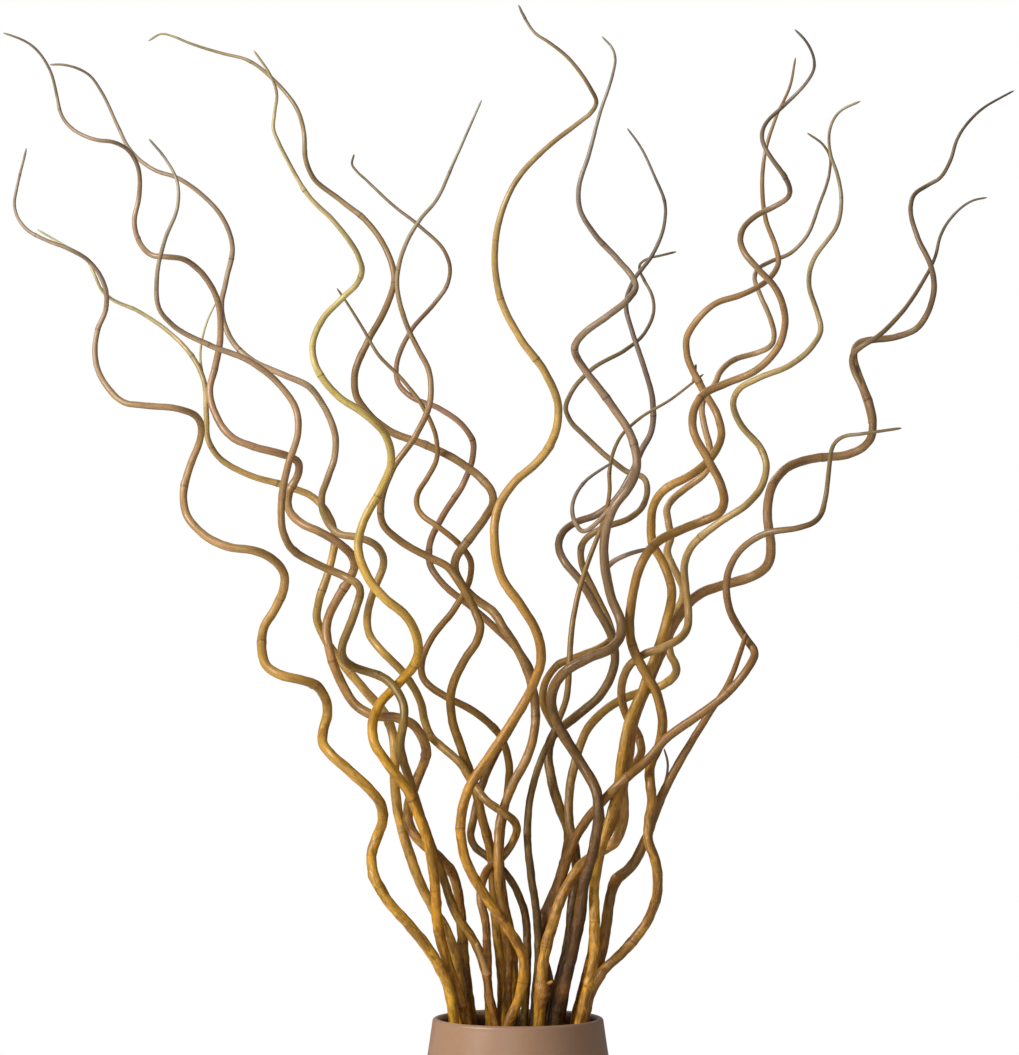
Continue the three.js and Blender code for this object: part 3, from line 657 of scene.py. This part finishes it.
def lumps_on(rows, angle, chance):
    """Uneven swellings along and round a rod: a sum of waves of different lengths, each turned
    round the rod its own number of times."""
    total = np.zeros((len(rows), len(angle)))
    for length, turns, height in LUMPS:
        phase = chance.uniform(0.0, 2.0 * np.pi)
        drift = LUMP_DRIFT * np.sin(rows * LUMP_DRIFT_WAVES + phase)
        wave = 2.0 * np.pi * rows / length + drift
        total += height * np.sin(wave[:, None] + turns * angle[None, :] + phase)
    return total


def rod(middles, radii, chance, kind, knots):
    """A round closed tube along a smooth path. Its thickness is the tapered radius times one plus
    lumps, swellings, flat buds and knots, plus a thin raised ring at each joint. A corner is the
    path plus the thickness times the direction of its spoke. Knots are (level, way they face,
    height, half length). Gives corners, faces, the values that the bark is painted from, the path
    and its rows."""
    step = np.linalg.norm(np.diff(middles, axis=0), axis=1)
    along = np.concatenate([[0.0], np.cumsum(step)])
    length = along[-1]
    joints = joints_for(length, chance) if kind != "stub" else np.zeros(0)
    around_joints = (joints[:, None] + JOINT_ROWS).ravel()
    even = np.arange(0.0, length, STEP)
    rows = np.concatenate([even, around_joints, [length, CUT_BEVEL], length - TIP_LENGTH * TIP_ROWS])
    rows = np.unique(rows[(rows >= 0.0) & (rows <= length)])
    rows = rows[np.concatenate([[True], np.diff(rows) > LEAST_ROW_GAP])]
    path = smooth_path(middles, where=rows)
    _, side, up = frames_along(path)
    angle = np.linspace(0.0, 2.0 * np.pi, SIDES, endpoint=False)
    cosine, sine = np.cos(angle)[None, :, None], np.sin(angle)[None, :, None]
    spokes = cosine * side[:, None, :] + sine * up[:, None, :]

    radius = np.interp(rows, along, radii)
    if kind != "stem":
        radius *= 1.0 + TWIG_FLARE * np.exp(-rows / TWIG_FLARE_LENGTH)
    if kind == "stub":
        from_break = np.clip((length - rows) / CUT_BEVEL, 0.0, 1.0)
        radius *= 1.0 - STUB_SHRINK + STUB_SHRINK * from_break
    else:
        past_tip = np.clip((rows - (length - TIP_LENGTH)) / TIP_LENGTH, 0.0, 1.0)
        radius *= np.sqrt(np.clip(1.0 - past_tip**TIP_ROUNDING, 0.01, 1.0))
    radius *= 1.0 - CUT_SHRINK + CUT_SHRINK * np.clip(rows / CUT_BEVEL, 0.0, 1.0)

    off = rows[:, None] - joints[None, :]
    strength = chance.uniform(0.1, 1.0, len(joints)) ** 1.5
    swelling = (strength * np.exp(-((off / SWELLING_LENGTH) ** 2))).sum(axis=1)
    ring = (strength * np.exp(-((off / RING_WIDTH) ** 2))).sum(axis=1)
    bud_angle = np.arange(len(joints)) * BUD_TURN + chance.uniform(0.0, 6.0)
    turned_by = np.angle(np.exp(1j * (angle[None, :, None] - bud_angle[None, None, :])))
    across = turned_by * radius[:, None, None] / BUD_WIDTH
    bud_rise = np.clip(1.0 - ((off - BUD_PLACE) / BUD_LENGTH) ** 2, 0.0, 1.0) ** 0.8
    bud = (bud_rise[:, None, :] * np.exp(-(across**2)) * strength).sum(axis=2)

    knot = np.zeros((len(rows), SIDES))
    for level, facing, height, half_length in knots:
        from_knot = rows - rows[np.argmax(path[:, 2] > level)]
        near = np.exp(-((from_knot / half_length) ** 2))
        way = np.array(facing) / np.linalg.norm(facing)
        toward = np.clip((spokes * way).sum(axis=2), 0.0, 1.0)
        wave = from_knot[:, None] * KNOT_FOLD_WAVES + 2.0 * angle[None, :]
        fold = 1.0 + KNOT_FOLD * np.cos(wave)
        from_ring = (np.abs(from_knot) - half_length * 0.5) / KNOT_RING_WIDTH
        ring += KNOT_RING * np.exp(-(from_ring**2))
        knot += height * near[:, None] * (KNOT_BACK + (1.0 - KNOT_BACK) * toward**1.5) * fold

    lowness = np.clip(1.0 - (path[:, 2] - VASE_HEIGHT) / LOW_REACH, 0.0, 1.0)
    low = 1.0 + (LOW_LUMPS - 1.0) * lowness
    lumps = low[:, None] * lumps_on(rows, angle, chance)
    shape = 1.0 + lumps + SWELLING_HEIGHT * swelling[:, None] + BUD_HEIGHT * bud + knot
    thick = radius[:, None] * shape + RING_HEIGHT * ring[:, None]
    rings = path[:, None, :] + thick[..., None] * spokes
    corners = np.vstack([rings.reshape(-1, 3), path[:1], path[-1:]])
    count = len(rows) * SIDES
    faces = ring_faces(len(rows), SIDES)
    faces += end_faces(np.arange(SIDES), count, outward=False)
    faces += end_faces(np.arange(count - SIDES, count), count + 1, outward=True)

    heights = np.repeat(rows[:, None], SIDES, axis=1)
    straight = np.stack([thick * np.cos(angle), thick * np.sin(angle), heights], axis=-1)
    straight = straight.reshape(-1, 3)
    values = {
        "straight": np.vstack([straight, [0.0, 0.0, 0.0], [0.0, 0.0, length]]),
        "ring": np.concatenate([np.repeat(ring, SIDES), [0.0, 0.0]]),
        "bud": np.concatenate([bud.ravel(), [0.0, 0.0]]),
        "knot": np.concatenate([np.clip(knot.ravel() * KNOT_COLOUR, 0.0, 1.0), [0.0, 0.0]]),
    }
    return corners, faces, values, path, rows


# noises of the bark: waves per metre across, across and along; detail; distortion
BARK_NOISES = {
    "wander": ((30.0, 30.0, 9.0), 2.0, 0.0),
    "streak": ((900.0, 900.0, 45.0), 4.0, 0.4),
    "fibre": ((2600.0, 2600.0, 160.0), 2.0, 0.0),
    "blotch": ((170.0, 170.0, 40.0), 4.0, 0.8),
    "stain": ((60.0, 60.0, 22.0), 3.0, 0.5),
    "mottle": ((230.0, 230.0, 95.0), 3.0, 1.0),
    "cracks": ((620.0, 620.0, 150.0), 2.0, 1.2),
}
PORES_SCALE = (420.0, 420.0, 210.0)
BARK_BUMP = 0.0005
SHIFT_PER_STEM = np.array([0.37, 0.21, 0.13])
TONE_PLACES = (0.0, 0.33, 0.66, 1.0)


def bark(name, colours, seed):
    """Willow bark. Its colour runs along the stem through four tones, broken by soft streaks,
    dark and pale mottling, small pale pores, dark cracks, a dark line at each joint and brown
    knots. Towards the foot it is older, rougher and more stained. Cut ends show pale wood."""
    finish = Finish(name, 0.5)
    shift = finish.add("Mapping")
    shift.inputs["Location"].default_value = SHIFT_PER_STEM * seed
    finish.join(finish.own("straight").outputs["Vector"], shift.inputs["Vector"])
    grain = shift.outputs["Vector"]
    age, ring, bud, knot, cut = (
        finish.own(key).outputs["Fac"] for key in ("age", "ring", "bud", "knot", "cut")
    )
    old = finish.between(age, 0.0, 0.4, 1.0, 0.25)
    wander, streak, fibre, blotch, stain, mottle, cracks = (
        finish.noise(finish.stretched(grain, scale), 1.0, detail, distortion)
        for scale, detail, distortion in BARK_NOISES.values()
    )
    pores = finish.add("TexVoronoi")
    pores.inputs["Scale"].default_value = 1.0
    pores.inputs["Randomness"].default_value = 1.0
    finish.join(finish.stretched(grain, PORES_SCALE), pores.inputs["Vector"])
    pore = finish.times(finish.between(pores.outputs["Distance"], 0.10, 0.20, 1.0, 0.0), old)
    crack = finish.times(finish.between(cracks, 0.66, 0.74), old)

    colour = tone = finish.ramp(
        finish.between(finish.sum((age, 1.0), (wander, 0.16)), 0.08, 1.08),
        [(place, linear(*shade)) for place, shade in zip(TONE_PLACES, colours)],
    )
    olive, darker, paler = (
        finish.mixed(1.0, tone, tint, "MULTIPLY")
        for tint in ((0.72, 0.78, 0.62, 1.0), (0.42, 0.37, 0.32, 1.0), (1.40, 1.38, 1.36, 1.0))
    )
    knot_tone = finish.ramp(fibre, [(0.35, linear(112, 68, 24)), (0.65, linear(196, 132, 58))])
    for share, tint in (
        (finish.between(stain, 0.48, 0.68, 0.0, 0.6), olive),
        (finish.between(streak, 0.45, 0.75, 0.0, 0.55), darker),
        (finish.between(streak, 0.45, 0.25, 0.0, 0.6), paler),
        (finish.times(finish.between(blotch, 0.49, 0.57), old), darker),
        (finish.times(finish.between(mottle, 0.52, 0.62, 0.0, 0.55), old), darker),
        (finish.times(finish.between(mottle, 0.47, 0.37, 0.0, 0.55), old), paler),
        (finish.sum((pore, 0.40)), linear(186, 150, 104)),
        (finish.sum((crack, 0.75)), linear(66, 44, 22)),
        (finish.sum((ring, 0.75)), linear(58, 38, 22)),
        (finish.sum((bud, 0.35)), linear(92, 58, 32)),
        (finish.sum((knot, 0.75)), knot_tone),
        (cut, linear(206, 172, 118)),
    ):
        colour = finish.mixed(share, colour, tint)
    relief = finish.sum(
        (streak, 0.5), (fibre, 0.25), (pore, 0.3), (blotch, 0.8), (mottle, 0.9), (crack, -0.8)
    )
    roughness = finish.between(streak, 0.3, 0.7, 0.30, 0.46)
    height = finish.times(relief, finish.between(age, 0.0, 0.4, 1.0, 0.45))
    return finish.finished(colour, roughness, height, BARK_BUMP)


def stub_line(path, radius, place, pointing, length, thickness):
    """Middle line and radii of a broken side shoot, from the middle of the stem outwards."""
    way = np.array(pointing) / np.linalg.norm(pointing)
    reach = STUB_REACH[:, None] * (radius + length)
    bow = STUB_BOW[:, None] * (0.0, 0.0, 1.0)
    return path[place] + reach * way + bow, thickness * STUB_TAPER


def stem_piece(node, colours, seed):
    """One stem with its twigs and stubs as one piece, in place of its CAD node."""
    chance = np.random.default_rng(seed)
    all_corners, all_faces, all_values = [], [], []

    def add(middles, radii, kind, age_of, knots=(), fresh=0.0):
        corners, faces, values, path, rows = rod(middles, radii, chance, kind, knots)
        sides = np.full(len(corners) - 2, STUB_PALE_SIDE * fresh)
        values["cut"] = np.concatenate([sides, [1.0, fresh]])
        age = age_of(path, rows)
        values["age"] = np.concatenate([np.repeat(age, SIDES), age[:1], age[-1:]])
        first = sum(len(part) for part in all_corners)
        all_corners.append(corners)
        all_faces.extend([[corner + first for corner in face] for face in faces])
        all_values.append(values)
        return path, age

    def stem_age(path, rows):
        rim = rows[np.argmax(path[:, 2] > VASE_HEIGHT)]
        return np.clip((rows - rim) / (rows[-1] - rim), 0.0, 1.0)

    def fork_age(path):
        return main_age[np.linalg.norm(main_path - path[0], axis=1).argmin()]

    def twig_age(path, rows):
        return fork_age(path) + (1.0 - fork_age(path)) * rows / rows[-1]

    def stub_age(path, rows):
        return np.full(len(rows), fork_age(path))

    (stem_middles, stem_radii), *twigs = branches_of(node)
    knots = KNOTS.get(node, [])
    main_path, main_age = add(stem_middles, stem_radii, "stem", stem_age, knots)
    for middles, radii in twigs:
        add(middles, radii, "twig", twig_age)
    for height, pointing, length, thickness, fresh in STUBS.get(node, []):
        place = np.argmax(main_path[:, 2] > height)
        radius = stem_radii[np.linalg.norm(stem_middles - main_path[place], axis=1).argmin()]
        middles, radii = stub_line(main_path, radius, place, pointing, length, thickness)
        add(middles, radii, "stub", stub_age, fresh=fresh)
    values = {key: np.concatenate([part[key] for part in all_values]) for key in all_values[0]}
    name = node + "_bark"
    piece = surface(name, np.vstack(all_corners), all_faces, bark(name, colours, seed), values)
    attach(piece, "root")
    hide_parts(node)


for seed, (node, colours) in enumerate(STEMS.items(), start=1):
    stem_piece(node, colours, seed)
